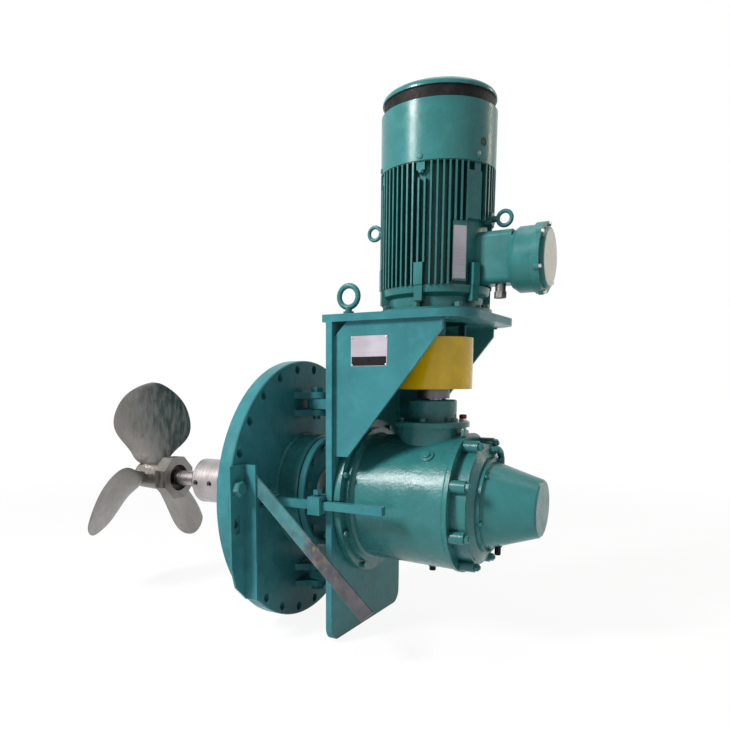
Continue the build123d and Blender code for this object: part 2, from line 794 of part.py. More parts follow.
with BuildPart() as terminal_neck:
    neck_plane = Plane(origin=(120, 0, BOX_AXIS_Z + 9), x_dir=(0, 1, 0), z_dir=(1, 0, 0))
    with BuildSketch(neck_plane):
        RectangleRounded(NECK_W, NECK_H, NECK_R)
    extrude(amount=NECK_X1 - MOTOR_X - 120)
    with BuildSketch(Plane.XY.offset(600)):
        Circle(FRAME_R)
    extrude(amount=260, mode=Mode.SUBTRACT)

with BuildPart() as terminal_body:
    with BuildSketch(Plane.XZ):
        Polygon(
            (NECK_X1, 0),
            (NECK_X1, ROUND_R - 12),
            (NECK_X1 + 18, ROUND_R),
            (ROUND_X1 - BOX_RIM_T, ROUND_R),
            (ROUND_X1 - BOX_RIM_T + 2, COVER_R),
            (ROUND_X1, COVER_R),
            (ROUND_X1, 0),
            align=None,
        )
    revolve(axis=Axis.X)

with BuildPart() as terminal_cover:
    with BuildSketch(Plane.YZ.offset(ROUND_X1)):
        Circle(COVER_R)
        with PolarLocations(COVER_R - 4, COVER_LOBES, start_angle=21):
            Circle(COVER_LOBE_R)
    extrude(amount=COVER_RIM_T)
    with BuildSketch(Plane.YZ.offset(ROUND_X1 + COVER_RIM_T)):
        Circle(COVER_FACE_R)
    extrude(amount=COVER_T - COVER_RIM_T, taper=10)

with BuildPart() as cover_disc:
    with BuildSketch(Plane.YZ.offset(ROUND_X1 + COVER_T)):
        Circle(DISC_R)
    extrude(amount=2)

with BuildPart() as cable_inlet:
    inlet_top = BOX_AXIS_Z + 9 - NECK_H / 2
    with BuildSketch(Plane.XY.offset(inlet_top - 22)):
        with Locations((INLET_X, INLET_Y)):
            Circle(INLET_R)
    extrude(amount=22)
    with BuildSketch(Plane.XY.offset(inlet_top - 40)):
        with Locations((INLET_X, INLET_Y)):
            RegularPolygon(INLET_R + 3, 6)
            Circle(INLET_BORE_R, mode=Mode.SUBTRACT)
    extrude(amount=18)

# Lifting eyes
with BuildPart() as base_eye_bolt:
    with Locations((283, -218, BASE_Z + BASE_T + 52)):
        Torus(31, 8, rotation=(90, 0, 0))
    with BuildSketch(Plane.XY.offset(BASE_Z + BASE_T)):
        with Locations((283, -218)):
            Circle(16)
    extrude(amount=9)
    with BuildSketch(Plane.XY.offset(BASE_Z + BASE_T + 9)):
        with Locations((283, -218)):
            Circle(10)
    extrude(amount=13)

with BuildPart() as motor_eye_bolts:
    for side in (1, -1):
        with BuildSketch(Plane.YZ.offset(side * (FRAME_R + 24))):
            with Locations((0, EYE_Z)):
                Circle(9)
        extrude(amount=side * 15)
        with Locations((side * (FRAME_R + 58), 0, EYE_Z)):
            Torus(EYE_R, EYE_WIRE_R, rotation=(90, 0, 0))

# ---------------------------------------------------------------- propeller shaft line

with BuildPart() as propeller_shaft:
    with BuildSketch(Plane.XZ):
        Polygon(
            (PROP_X - 40, 0),
            (PROP_X - 40, SHAFT_R - 8),
            (BOSS_RING_X - 12, SHAFT_R - 8),
            (BOSS_RING_X - 12, SHAFT_R),
            (BOX_X0 + 8, SHAFT_R),
            (BOX_X0 + 8, SHAFT_REAR_R),
            (BOX_X1 + 40, SHAFT_REAR_R),
            (BOX_X1 + 40, SHAFT_R - 4),
            (BOX_X1 + 75, SHAFT_R - 4),
            (BOX_X1 + 75, 0),
            align=None,
        )
    revolve(axis=Axis.X)

with BuildPart() as shaft_sleeve:
    with BuildSketch(Plane.XZ):
        Polygon(
            (SLEEVE_X0, SHAFT_R),
            (SLEEVE_X0, SLEEVE_R - SLEEVE_CHAMFER),
            (SLEEVE_X0 + SLEEVE_CHAMFER, SLEEVE_R),
            (SLEEVE_X1 - 8, SLEEVE_R),
            (SLEEVE_X1, SLEEVE_R - 8),
            (SLEEVE_X1, SHAFT_R),
            align=None,
        )
    revolve(axis=Axis.X)
    with BuildSketch(Plane.XZ.offset(0)):
        with Locations((SLEEVE_X0 + 45, 0), (SLEEVE_X1 - 45, 0)):
            Circle(11)
    extrude(amount=SLEEVE_R + 2, mode=Mode.SUBTRACT)
    with BuildSketch(Plane.YZ.offset(SLEEVE_X0)):
        Circle(SHAFT_R)
    extrude(amount=SLEEVE_X1 - SLEEVE_X0, mode=Mode.SUBTRACT)

with BuildPart() as sleeve_screws:
    with BuildSketch(Plane.XZ.offset(SHAFT_R)):
        with Locations((SLEEVE_X0 + 45, 0), (SLEEVE_X1 - 45, 0)):
            Circle(10.5)
            RegularPolygon(6, 6, mode=Mode.SUBTRACT)
    extrude(amount=SLEEVE_R - SHAFT_R - 4)

with BuildPart() as propeller:
    with BuildSketch(Plane.XZ):
        Polygon(
            (PROP_X - 40, SHAFT_R - 8),
            (PROP_X - 62, 22),
            (PROP_X - 60, 34),
            (PROP_X - 40, 50),
            (PROP_X + 60, 56),
            (BOSS_RING_X, 62),
            (BOSS_RING_X + 12, 62),
            (BOSS_RING_X + 12, SHAFT_R),
            (BOSS_RING_X - 12, SHAFT_R),
            (BOSS_RING_X - 12, SHAFT_R - 8),
            align=None,
        )
    revolve(axis=Axis.X)
    with BuildSketch(Plane.YZ.offset(BOSS_RING_X)):
        RegularPolygon(BOSS_RING_R, BOSS_RING_SIDES, rotation=180 / BOSS_RING_SIDES)
        Circle(BOSS_RING_BORE, mode=Mode.SUBTRACT)
    extrude(amount=BOSS_RING_T)
    # share of the radius, half chord, thickness
    stations = ((0.12, 42, 17), (0.25, 86, 15), (0.4, 137, 12), (0.55, 158, 10), (0.7, 147, 8))
    stations += ((0.82, 122, 6.5), (0.92, 80, 5), (0.975, 42, 4), (1, 14, 3))
    for turn in range(BLADES):
        for share, half_chord, thick in stations:
            s = share * PROP_R
            beta = atan(PITCH * (1 + PITCH_GAIN * (share - 0.6)) / (2 * pi * s))
            phi = radians(BLADE_TURN + turn * 360 / BLADES)
            radial = Vector(0, cos(phi), sin(phi))
            round_way = Vector(0, -sin(phi), cos(phi))
            chord = round_way * cos(beta) + Vector(-sin(beta), 0, 0)
            skew = BLADE_SKEW[0] * share + BLADE_SKEW[1] * share**2
            rake = BLADE_RAKE[0] * share + BLADE_RAKE[1] * share**2
            origin = Vector(PROP_X + rake, 0, 0) + radial * s + round_way * skew
            with BuildSketch(Plane(origin=origin, x_dir=chord, z_dir=radial)):
                with BuildLine():
                    ThreePointArc((-half_chord, 0), (0, thick * 0.7), (half_chord, 0))
                    ThreePointArc((half_chord, 0), (0, -thick * 0.3), (-half_chord, 0))
                make_face()
        loft()

# ---------------------------------------------------------------- bevel pair and vertical drive line


def bevel_teeth(cone_angle, teeth, pitch_r, turn):
    """Cutter-free teeth: each tooth a wedge whose edges all run to the apex at the origin, axis +Z."""
    cone = pitch_r / sin(cone_angle)
    pitch = 2 * pi * pitch_r / teeth
    solids = []
    for k in range(teeth):
        phi = radians(turn) + 2 * pi * k / teeth
        radial = Vector(cos(phi), sin(phi), 0)
        side = Vector(-sin(phi), cos(phi), 0)
        along = radial * sin(cone_angle) + Vector(0, 0, 1) * cos(cone_angle)
        out = radial * cos(cone_angle) - Vector(0, 0, 1) * sin(cone_angle)
        rings = []
        for share in ((cone - TOOTH_FACE) / cone, 1):
            top = pitch * TOOTH_SHARE / 2 - ADDENDUM * tan(radians(20))
            root = pitch * TOOTH_SHARE / 2 + DEDENDUM * tan(radians(20))
            corners = (
                along * cone + out * ADDENDUM + side * top,
                along * cone + out * ADDENDUM - side * top,
                along * cone - out * DEDENDUM - side * root,
                along * cone - out * DEDENDUM + side * root,
            )
            rings.append(Face(Wire.make_polygon([c * share for c in corners])))
        solids.append(Solid.make_loft([rings[0].outer_wire(), rings[1].outer_wire()], True))
    return solids


crown_cone = atan(CROWN_TEETH / PINION_TEETH)
pinion_cone = pi / 2 - crown_cone
pinion_pitch_r = CROWN_PITCH_R * PINION_TEETH / CROWN_TEETH
cone_length = CROWN_PITCH_R / sin(crown_cone)
inner_share = (cone_length - TOOTH_FACE) / cone_length

with BuildPart() as crown_gear:
    # root cone points, axis +Z, apex at the origin
    root_r = CROWN_PITCH_R - (DEDENDUM - 0.3) * cos(crown_cone)
    root_z = cone_length * cos(crown_cone) + (DEDENDUM - 0.3) * sin(crown_cone)
    with BuildSketch(Plane.XZ):
        Polygon(
            (SHAFT_REAR_R, root_z * inner_share + 6),
            (root_r * inner_share - 6, root_z * inner_share + 2),
            (root_r * inner_share, root_z * inner_share),
            (root_r, root_z),
            (root_r - 2, root_z + 22),
            (SHAFT_REAR_R + 30, root_z + 22),
            (SHAFT_REAR_R + 25, root_z + 50),
            (SHAFT_REAR_R, root_z + 50),
            align=None,
        )
    revolve(axis=Axis.Z)
    for tooth in bevel_teeth(crown_cone, CROWN_TEETH, CROWN_PITCH_R, 180 / CROWN_TEETH):
        add(tooth)

with BuildPart() as pinion_shaft:
    root_r = pinion_pitch_r - (DEDENDUM - 0.3) * cos(pinion_cone)
    root_z = cone_length * cos(pinion_cone) + (DEDENDUM - 0.3) * sin(pinion_cone)
    with BuildSketch(Plane.XZ):
        Polygon(
            (0, root_z * inner_share),
            (root_r * inner_share, root_z * inner_share),
            (root_r, root_z),
            (PINION_SHAFT_R + 3, root_z + 6),
            (PINION_SHAFT_R + 3, 168),
            (PINION_SHAFT_R, 168),
            (PINION_SHAFT_R, GEAR_HUB_Z0),
            (MOTOR_SHAFT_R, GEAR_HUB_Z0),
            (MOTOR_SHAFT_R, GEAR_HUB_Z1 - 4),
            (0, GEAR_HUB_Z1 - 4),
            align=None,
        )
    revolve(axis=Axis.Z)
    for tooth in bevel_teeth(pinion_cone, PINION_TEETH, pinion_pitch_r, 0):
        add(tooth)

with BuildPart() as gear_hub:
    with BuildSketch(Plane.XY.offset(GEAR_HUB_Z0)):
        Circle(HUB_R)
        Circle(MOTOR_SHAFT_R, mode=Mode.SUBTRACT)
    extrude(amount=GEAR_HUB_Z1 - GEAR_HUB_Z0)

with BuildPart() as spider:
    with BuildSketch(Plane.XY.offset(GEAR_HUB_Z1)):
        Circle(HUB_R - 3)
        Circle(20, mode=Mode.SUBTRACT)
    extrude(amount=SPIDER_T)

with BuildPart() as motor_hub:
    with BuildSketch(Plane.XY.offset(GEAR_HUB_Z1 + SPIDER_T)):
        Circle(HUB_R)
        Circle(MOTOR_SHAFT_R, mode=Mode.SUBTRACT)
    extrude(amount=MOTOR_HUB_Z1 - GEAR_HUB_Z1 - SPIDER_T)

with BuildPart() as motor_shaft:
    with BuildSketch(Plane.XZ):
        Polygon(
            (0, GEAR_HUB_Z1 + SPIDER_T + 2),
            (MOTOR_SHAFT_R, GEAR_HUB_Z1 + SPIDER_T + 2),
            (MOTOR_SHAFT_R, FRAME_Z0 - 36),
            (PINION_SHAFT_R, FRAME_Z0 - 36),
            (PINION_SHAFT_R, FRAME_Z1 + 30),
            (MOTOR_SHAFT_R - 6, FRAME_Z1 + 30),
            (MOTOR_SHAFT_R - 6, FRAME_Z1 + 100),
            (0, FRAME_Z1 + 100),
            align=None,
        )
    revolve(axis=Axis.Z)

with BuildPart() as rotor_core:
    with BuildSketch(Plane.XY.offset(685)):
        Circle(ROTOR_R)
        Circle(PINION_SHAFT_R, mode=Mode.SUBTRACT)
    extrude(amount=250)

with BuildPart() as cooling_fan:
    with BuildSketch(Plane.XY.offset(FRAME_Z1 + 50)):
        Circle(120)
        Circle(MOTOR_SHAFT_R - 6, mode=Mode.SUBTRACT)
    extrude(amount=5)
    with BuildSketch(Plane.XY.offset(FRAME_Z1 + 55)):
        Circle(34)
        with PolarLocations(74, 8):
            Rectangle(84, 4)
        Circle(MOTOR_SHAFT_R - 6, mode=Mode.SUBTRACT)
    extrude(amount=42)

# ---------------------------------------------------------------- placing and export

to_motor = Location((MOTOR_X, 0, 0))
to_box_axis = Location((0, 0, BOX_AXIS_Z))
to_crown = Location(Plane(origin=APEX, x_dir=(0, 0, 1), z_dir=(1, 0, 0)))

placed = {
    "mounting_flange": mounting_flange.part,
    "ball_housing": ball_housing.part,
    "housing_gasket": housing_gasket.part,
    "clamp_ring": clamp_ring.part,
    "ring_bolts": ring_bolts.part,
    "angle_post": angle_post.part,
    "diagonal_brace": diagonal_brace.part,
    "bar_lug": bar_lug.part,
    "bar_pin": bar_pin.part,
    "angle_bar": angle_bar.part,
    "clamp_block": clamp_block.part,
    "lock_screw": lock_screw.part,
    "swivel_ball": swivel_ball.part,
    "shaft_bush": shaft_bush.part,
    "neck_tube": neck_tube.part,
    "mounting_plate": mounting_plate.part,
    "motor_base": motor_base.part,
    "gearbox_housing": gearbox_housing.part,
    "output_bearings": output_bearings.part,
    "rear_cover": rear_cover.part,
    "rear_cone": rear_cone.part,
    "input_carrier": input_carrier.part.moved(to_motor),
    "input_bearings": input_bearings.part.moved(to_motor),
    "guard_carrier": guard_carrier.part.moved(to_motor),
    "coupling_guard": coupling_guard.part.moved(to_motor),
    "drive_shield": drive_shield.part.moved(to_motor),
    "motor_frame": motor_frame.part.moved(to_motor),
    "stator": stator.part.moved(to_motor),
    "top_shield": top_shield.part.moved(to_motor),
    "fan_cowl": fan_cowl.part.moved(to_motor),
    "inlet_grille": inlet_grille.part.moved(to_motor),
    "canopy": canopy.part.moved(to_motor),
    "terminal_neck": terminal_neck.part.moved(to_motor),
    "terminal_body": terminal_body.part.moved(to_box_axis),
    "terminal_cover": terminal_cover.part.moved(to_box_axis),
    "cover_disc": cover_disc.part.moved(to_box_axis),
    "cable_inlet": cable_inlet.part,
    "base_eye_bolt": base_eye_bolt.part,
    "motor_eye_bolts": motor_eye_bolts.part.moved(to_motor),
    "propeller_shaft": propeller_shaft.part,
    "shaft_sleeve": shaft_sleeve.part,
    "sleeve_screws": sleeve_screws.part,
    "propeller": propeller.part,
    "crown_gear": crown_gear.part.moved(to_crown),
    "pinion_shaft": pinion_shaft.part.moved(to_motor),
    "gear_hub": gear_hub.part.moved(to_motor),
    "spider": spider.part.moved(to_motor),
    "motor_hub": motor_hub.part.moved(to_motor),
    "motor_shaft": motor_shaft.part.moved(to_motor),
    "rotor_core": rotor_core.part.moved(to_motor),
    "cooling_fan": cooling_fan.part.moved(to_motor),
}

for label, part in placed.items():
    part.label = label
    export_step(part, f"parts/{label}.step")
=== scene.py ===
import math

import bmesh
import bpy
from mathutils import Matrix, Vector, noise


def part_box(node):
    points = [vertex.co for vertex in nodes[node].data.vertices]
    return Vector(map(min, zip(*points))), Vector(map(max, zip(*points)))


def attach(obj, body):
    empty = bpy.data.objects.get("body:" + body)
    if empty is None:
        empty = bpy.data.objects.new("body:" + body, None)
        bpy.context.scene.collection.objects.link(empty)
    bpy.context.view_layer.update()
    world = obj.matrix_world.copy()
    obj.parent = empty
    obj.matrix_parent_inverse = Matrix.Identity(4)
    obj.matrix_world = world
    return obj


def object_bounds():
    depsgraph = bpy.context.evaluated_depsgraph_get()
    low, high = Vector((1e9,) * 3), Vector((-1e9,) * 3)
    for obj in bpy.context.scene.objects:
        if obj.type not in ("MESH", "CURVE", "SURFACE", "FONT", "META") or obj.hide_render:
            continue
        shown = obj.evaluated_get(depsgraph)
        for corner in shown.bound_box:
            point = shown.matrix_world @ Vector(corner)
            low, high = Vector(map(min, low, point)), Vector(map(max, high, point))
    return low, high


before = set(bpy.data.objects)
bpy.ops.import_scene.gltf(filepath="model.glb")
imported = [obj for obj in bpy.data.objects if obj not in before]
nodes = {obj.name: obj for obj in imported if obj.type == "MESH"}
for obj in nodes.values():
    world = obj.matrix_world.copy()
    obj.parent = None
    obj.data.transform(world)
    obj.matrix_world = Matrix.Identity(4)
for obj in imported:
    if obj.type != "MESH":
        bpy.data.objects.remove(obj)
cad_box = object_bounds()
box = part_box

# ---------------------------------------------------------------- materials


class Mat:
    """A procedural material in the making: object coordinates in, a Principled shader out."""

    def __init__(self, name):
        self.m = bpy.data.materials.new(name)
        self.m.use_nodes = True
        self.t = self.m.node_tree
        self.p = self.t.nodes["Principled BSDF"]
        self.co = self.n("ShaderNodeTexCoord").outputs["Object"]

    def n(self, kind, **props):
        node = self.t.nodes.new(kind)
        for key, value in props.items():
            setattr(node, key, value)
        return node

    def link(self, a, b):
        self.t.links.new(a, b)

    def scaled(self, scale):
        mapping = self.n("ShaderNodeMapping")
        mapping.inputs["Scale"].default_value = scale
        self.link(self.co, mapping.inputs["Vector"])
        return mapping.outputs["Vector"]

    def noise(self, scale, detail=3.0, rough=0.55, stretch=(1, 1, 1)):
        node = self.n("ShaderNodeTexNoise")
        node.inputs["Scale"].default_value = scale
        node.inputs["Detail"].default_value = detail
        node.inputs["Roughness"].default_value = rough
        self.link(self.scaled(stretch), node.inputs["Vector"])
        return node.outputs["Fac"]

    def ramp(self, value, lo, hi, a=0.0, b=1.0):
        node = self.n("ShaderNodeMapRange")
        node.interpolation_type = "SMOOTHSTEP"
        for key, v in (("From Min", lo), ("From Max", hi), ("To Min", a), ("To Max", b)):
            node.inputs[key].default_value = v
        self.link(value, node.inputs["Value"])
        return node.outputs["Result"]

    def mix(self, fac, a, b):
        node = self.n("ShaderNodeMix", data_type="RGBA")
        for key, v in ((0, fac), (6, a), (7, b)):
            if isinstance(v, (tuple, list)):
                node.inputs[key].default_value = (*v, 1.0)
            elif isinstance(v, float):
                node.inputs[key].default_value = v
            else:
                self.link(v, node.inputs[key])
        return node.outputs[2]

    def math(self, op, a, b=None):
        node = self.n("ShaderNodeMath", operation=op)
        for k, v in enumerate((a, b)):
            if isinstance(v, (int, float)):
                node.inputs[k].default_value = v
            elif v is not None:
                self.link(v, node.inputs[k])
        return node.outputs[0]

    def bump(self, height, strength, distance, under=None):
        node = self.n("ShaderNodeBump")
        node.inputs["Strength"].default_value = strength
        node.inputs["Distance"].default_value = distance
        self.link(height, node.inputs["Height"])
        if under is not None:
            self.link(under, node.inputs["Normal"])
        return node.outputs["Normal"]

    def edges(self, radius):
        """1 on outside edges, 0 on flats."""
        bevel = self.n("ShaderNodeBevel", samples=4)
        bevel.inputs["Radius"].default_value = radius
        geometry = self.n("ShaderNodeNewGeometry")
        dot = self.n("ShaderNodeVectorMath", operation="DOT_PRODUCT")
        self.link(bevel.outputs["Normal"], dot.inputs[0])
        self.link(geometry.outputs["Normal"], dot.inputs[1])
        return self.ramp(dot.outputs["Value"], 0.80, 0.995, 1.0, 0.0)

    def cavity(self, reach):
        """1 deep in grooves, 0 in the open: the mask for painted shade."""
        node = self.n("ShaderNodeAmbientOcclusion", samples=6)
        node.inputs["Distance"].default_value = reach
        return self.ramp(node.outputs["AO"], 0.25, 0.8, 1.0, 0.0)

    def axis(self, k):
        node = self.n("ShaderNodeSeparateXYZ")
        self.link(self.co, node.inputs[0])
        return node.outputs[k]

    def done(self, colour, rough, normal=None, metal=0.0, coat=0.0, spec=0.5):
        self.p.inputs["Metallic"].default_value = metal
        self.p.inputs["Coat Weight"].default_value = coat
        self.p.inputs["Coat Roughness"].default_value = 0.12
        self.p.inputs["Specular IOR Level"].default_value = spec
        self.link(colour, self.p.inputs["Base Color"])
        self.link(rough, self.p.inputs["Roughness"])
        if normal is not None:
            self.link(normal, self.p.inputs["Normal"])
        return self.m


def enamel(name, base, peel=0.25, cast=0.0, wear=0.3, dust=0.12, brush=0.0, crevice_shade=0.0, spec=0.2, gloss=0.24):
    """Machine enamel: soft drift in tone, dust, thin edges, orange peel, for castings a lumpy skin, and
    painted shade deep in grooves.
    """
    m = Mat(name)
    dark = tuple(c * 0.80 for c in base)
    light = tuple(min(1, c * 1.16 + 0.006) for c in base)
    colour = m.mix(m.ramp(m.noise(4.5, 3), 0.3, 0.7), dark, base)
    colour = m.mix(m.ramp(m.noise(19, 3, 0.6), 0.45, 0.75, 0.0, 0.6), colour, light)
    grime = m.math("MULTIPLY", m.ramp(m.noise(31, 6, 0.7), 0.54, 0.74), dust)
    colour = m.mix(grime, colour, (0.13, 0.15, 0.13))
    # painted shade: deep in grooves and between fins the colour darkens towards a fifth of the base
    if crevice_shade:
        colour = m.mix(m.math("MULTIPLY", m.cavity(0.025), crevice_shade), colour, tuple(c * 0.22 for c in base))
    chips = m.ramp(m.noise(95, 5, 0.7), 0.54, 0.66)
    edge = m.edges(0.003)
    thin = m.math("MULTIPLY", edge, m.ramp(m.noise(24, 3), 0.38, 0.62, 0.15, 1.0))
    colour = m.mix(m.math("MULTIPLY", thin, wear), colour, tuple(min(1, c * 1.7 + 0.05) for c in base))
    colour = m.mix(m.math("MULTIPLY", m.math("MULTIPLY", edge, chips), wear), colour, (0.12, 0.11, 0.09))
    rough = m.ramp(m.noise(18, 4), 0.3, 0.75, gloss, gloss + 0.16)
    normal = m.bump(m.noise(420, 2), peel, 0.0006)
    if cast:
        normal = m.bump(m.noise(120, 4, 0.6), cast, 0.0016, normal)
        normal = m.bump(m.noise(16, 2), cast * 0.5, 0.006, normal)
    if brush:
        normal = m.bump(m.noise(60, 3, 0.5, (1, 1, 0.12)), brush, 0.0008, normal)
    return m.done(colour, rough, normal, coat=0.06, spec=spec)


def steel(name, base, rough=(0.25, 0.5), stretch=(1, 1, 1), scale=220, stain=0.3,
          tint=(0.20, 0.15, 0.11), lines=0.3, metal=1.0):
    """Bare metal: cloudy shade, machining lines along the long axis of stretch, and stains."""
    m = Mat(name)
    light = tuple(min(1, c * 1.25) for c in base)
    colour = m.mix(m.ramp(m.noise(9, 5), 0.3, 0.7), tuple(c * 0.72 for c in base), base)
    colour = m.mix(m.ramp(m.noise(scale, 3, 0.6, stretch), 0.35, 0.7, 0.0, 0.35), colour, light)
    colour = m.mix(m.ramp(m.noise(22, 6, 0.7), 0.56, 0.74, 0.0, stain), colour, tint)
    r = m.ramp(m.noise(scale, 3, 0.6, stretch), 0.3, 0.7, *rough)
    normal = m.bump(m.noise(scale * 1.6, 2, 0.5, stretch), lines, 0.0006)
    return m.done(colour, r, normal, metal=metal)


TEAL = (0.046, 0.220, 0.248)
teal_plate = enamel("teal_plate", TEAL, peel=0.3, brush=0.25, dust=0.05, spec=0.08)
# teal_cast and teal_motor darken their grooves with painted shade
teal_cast = enamel("teal_cast", (0.032, 0.185, 0.190), peel=0.3, cast=0.6, wear=0.25, dust=0.05, crevice_shade=0.5,
                   spec=0.3, gloss=0.18)
teal_motor = enamel("teal_motor", (0.034, 0.190, 0.190), peel=0.2, cast=0.15, dust=0.05, crevice_shade=0.85)
teal_sheet = enamel("teal_sheet", (0.036, 0.195, 0.198), peel=0.35, wear=0.2, dust=0.05, gloss=0.2)
yellow = enamel("guard_yellow", (0.84, 0.53, 0.003), peel=0.2, wear=0.1, dust=0.03, spec=0.4, gloss=0.14)
cream = enamel("cream_enamel", (0.76, 0.74, 0.66), peel=0.25, wear=0.1, dust=0.12)
red = enamel("red_cap", (0.42, 0.02, 0.015), peel=0.2, wear=0.2, dust=0.2)
polished = steel("propeller_stainless", (0.255, 0.240, 0.225), (0.28, 0.46), (1, 0.5, 0.16), 130,
                 0.6, (0.12, 0.10, 0.085), 0.12)
turned = steel("turned_stainless", (0.46, 0.43, 0.43), (0.22, 0.4), (14, 0.4, 0.4), 30,
               0.4, (0.30, 0.20, 0.16), 0.3)
bare = steel("dark_steel", (0.17, 0.165, 0.16), (0.3, 0.55), (1, 1, 1), 120, 0.45, (0.07, 0.05, 0.04), 0.4)
zinc = steel("zinc_plate", (0.55, 0.56, 0.55), (0.28, 0.5), (1, 1, 1), 200, 0.3, (0.25, 0.22, 0.17), 0.3)
gear_steel = steel("gear_steel", (0.38, 0.38, 0.39), (0.22, 0.4), (1, 1, 8), 60, 0.2)
plate_alloy = steel("nameplate_alloy", (0.40, 0.375, 0.43), (0.45, 0.62), (0.3, 1, 12), 60,
                    0.2, (0.30, 0.27, 0.28), 0.2, 0.3)


def soft(name, base, lo, hi, scale, strength, spec=0.4):
    """Rubber or dull lacquer: dust in patches and a fine grain."""
    m = Mat(name)
    colour = m.mix(m.ramp(m.noise(scale * 0.2, 4), 0.35, 0.7), base, tuple(c * 1.8 + 0.004 for c in base))
    colour = m.mix(m.ramp(m.noise(12, 5, 0.7), 0.55, 0.75, 0.0, 0.35), colour, (0.10, 0.10, 0.09))
    rough = m.ramp(m.noise(scale, 3), 0.3, 0.7, lo, hi)
    return m.done(colour, rough, m.bump(m.noise(scale * 2, 3), strength, 0.0006), spec=spec)


rubber = soft("black_rubber", (0.012, 0.012, 0.012), 0.55, 0.8, 180, 0.4)
black = soft("black_lacquer", (0.004, 0.004, 0.005), 0.5, 0.7, 220, 0.3, 0.15)
bronze = steel("bronze", (0.55, 0.36, 0.16), (0.25, 0.45), (8, 1, 1), 50, 0.3)
core = steel("stator_core", (0.16, 0.16, 0.17), (0.4, 0.6), (1, 1, 60), 30, 0.3, (0.10, 0.05, 0.02))
alloy = steel("rotor_alloy", (0.55, 0.56, 0.57), (0.35, 0.55), (1, 1, 4), 80, 0.2)


def brace_paint():
    """Flat bar, painted at its upper end and worn to primer with rust runs below."""
    m = Mat("brace_paint")
    x = m.axis(0)
    wander = m.math("ADD", x, m.ramp(m.noise(11, 5, 0.65), 0.2, 0.8, -0.05, 0.05))
    low = m.ramp(wander, 0.205, 0.265)
    teal = m.mix(m.ramp(m.noise(24, 4), 0.35, 0.7), tuple(c * 0.7 for c in TEAL), TEAL)
    primer = m.mix(m.ramp(m.noise(30, 5, 0.6), 0.3, 0.7), (0.036, 0.040, 0.052), (0.085, 0.080, 0.100))
    rust = m.ramp(m.noise(34, 6, 0.7), 0.5, 0.66)
    band = m.math("MULTIPLY", m.ramp(wander, 0.15, 0.21), m.ramp(wander, 0.33, 0.26))
    colour = m.mix(low, teal, primer)
    rusty = m.math("MULTIPLY", rust, m.math("ADD", m.math("MULTIPLY", band, 0.85), 0.12))
    colour = m.mix(rusty, colour, (0.22, 0.17, 0.045))
    streak = m.ramp(m.noise(60, 4, 0.6, (1, 1, 0.3)), 0.5, 0.7, 0.0, 0.4)
    colour = m.mix(streak, colour, (0.05, 0.05, 0.055))
    edge = m.edges(0.002)
    colour = m.mix(m.math("MULTIPLY", edge, 0.45), colour, (0.36, 0.40, 0.40))
    normal = m.bump(m.noise(140, 5, 0.6), 0.4, 0.0008)
    return m.done(colour, m.ramp(m.noise(30, 4), 0.3, 0.7, 0.4, 0.7), normal)


brace = brace_paint()

looks = {
    teal_plate: (
        "mounting_flange", "clamp_ring", "clevis_top", "clevis_bottom", "angle_post", "bar_lug",
        "angle_bar", "clamp_block", "mounting_plate", "swivel_lug_top", "swivel_lug_bottom", "motor_base",
        "gusset_near", "gusset_far", "guard_carrier",
    ),
    teal_cast: (
        "ball_housing", "ring_bolts", "swivel_pin_top", "swivel_pin_bottom", "bar_pin", "lock_screw",
        "gearbox_housing", "rear_cover", "input_carrier",
    ),
    rubber: ("housing_gasket", "spider"),
    brace: ("diagonal_brace",),
    bare: ("swivel_ball", "cable_inlet", "sleeve_screws", "gear_hub", "motor_hub"),
    bronze: ("shaft_bush",),
    turned: ("neck_tube", "propeller_shaft", "shaft_sleeve"),
    gear_steel: ("output_bearings", "input_bearings", "crown_gear", "pinion_shaft", "motor_shaft"),
    teal_sheet: ("rear_cone", "fan_cowl", "canopy"),
    yellow: ("coupling_guard",),
    teal_motor: (
        "drive_shield", "motor_frame", "top_shield", "terminal_neck", "terminal_body", "terminal_cover",
        "base_eye_bolt", "motor_eye_bolts",
    ),
    core: ("stator",),
    black: ("inlet_grille", "cooling_fan"),
    cream: ("cover_disc",),
    polished: ("propeller",),
    alloy: ("rotor_core",),
}
for material, names in looks.items():
    for name in names:
        slots = nodes[name].material_slots
        if not slots:
            nodes[name].data.materials.append(material)
        for slot in slots:
            slot.material = material

# ---------------------------------------------------------------- mesh helpers


def basis(z, x=None):
    """A matrix whose Z column is z."""
    z = Vector(z).normalized()
    x = Vector(x) if x else (Vector((1, 0, 0)) if abs(z.x) < 0.9 else Vector((0, 1, 0)))
    y = z.cross(x).normalized()
    return Matrix((y.cross(z), y, z)).transposed().to_4x4()


def emit(bm, name, body, material, angle=35):
    """Turns bm into a smooth-shaded piece with edges sharper than angle, riding on body."""
    bmesh.ops.remove_doubles(bm, verts=bm.verts, dist=1e-6)
    bmesh.ops.recalc_face_normals(bm, faces=bm.faces)
    mesh = bpy.data.meshes.new(name)
    bm.to_mesh(mesh)
    bm.free()
    obj = bpy.data.objects.new(name, mesh)
    bpy.context.scene.collection.objects.link(obj)
    mesh.materials.append(material)
    for poly in mesh.polygons:
        poly.use_smooth = True
    mesh.set_sharp_from_angle(angle=math.radians(angle))
    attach(obj, body)


def lathe(bm, profile, place, segments=32):
    """Turns (radius, height) points about Z of place; ends on the axis close with a fan."""
    rings = []
    for r, z in profile:
        if r < 1e-7:
            rings.append([bm.verts.new(place @ Vector((0, 0, z)))])
        else:
            turn = [2 * math.pi * k / segments for k in range(segments)]
            rings.append([bm.verts.new(place @ Vector((r * math.cos(a), r * math.sin(a), z))) for a in turn])
    for a, b in zip(rings, rings[1:]):
        for k in range(segments):
            j = (k + 1) % segments
            quad = [a[k % len(a)], a[j % len(a)], b[j % len(b)], b[k % len(b)]]
            quad = list(dict.fromkeys(quad))
            if len(quad) > 2:
                bm.faces.new(quad)


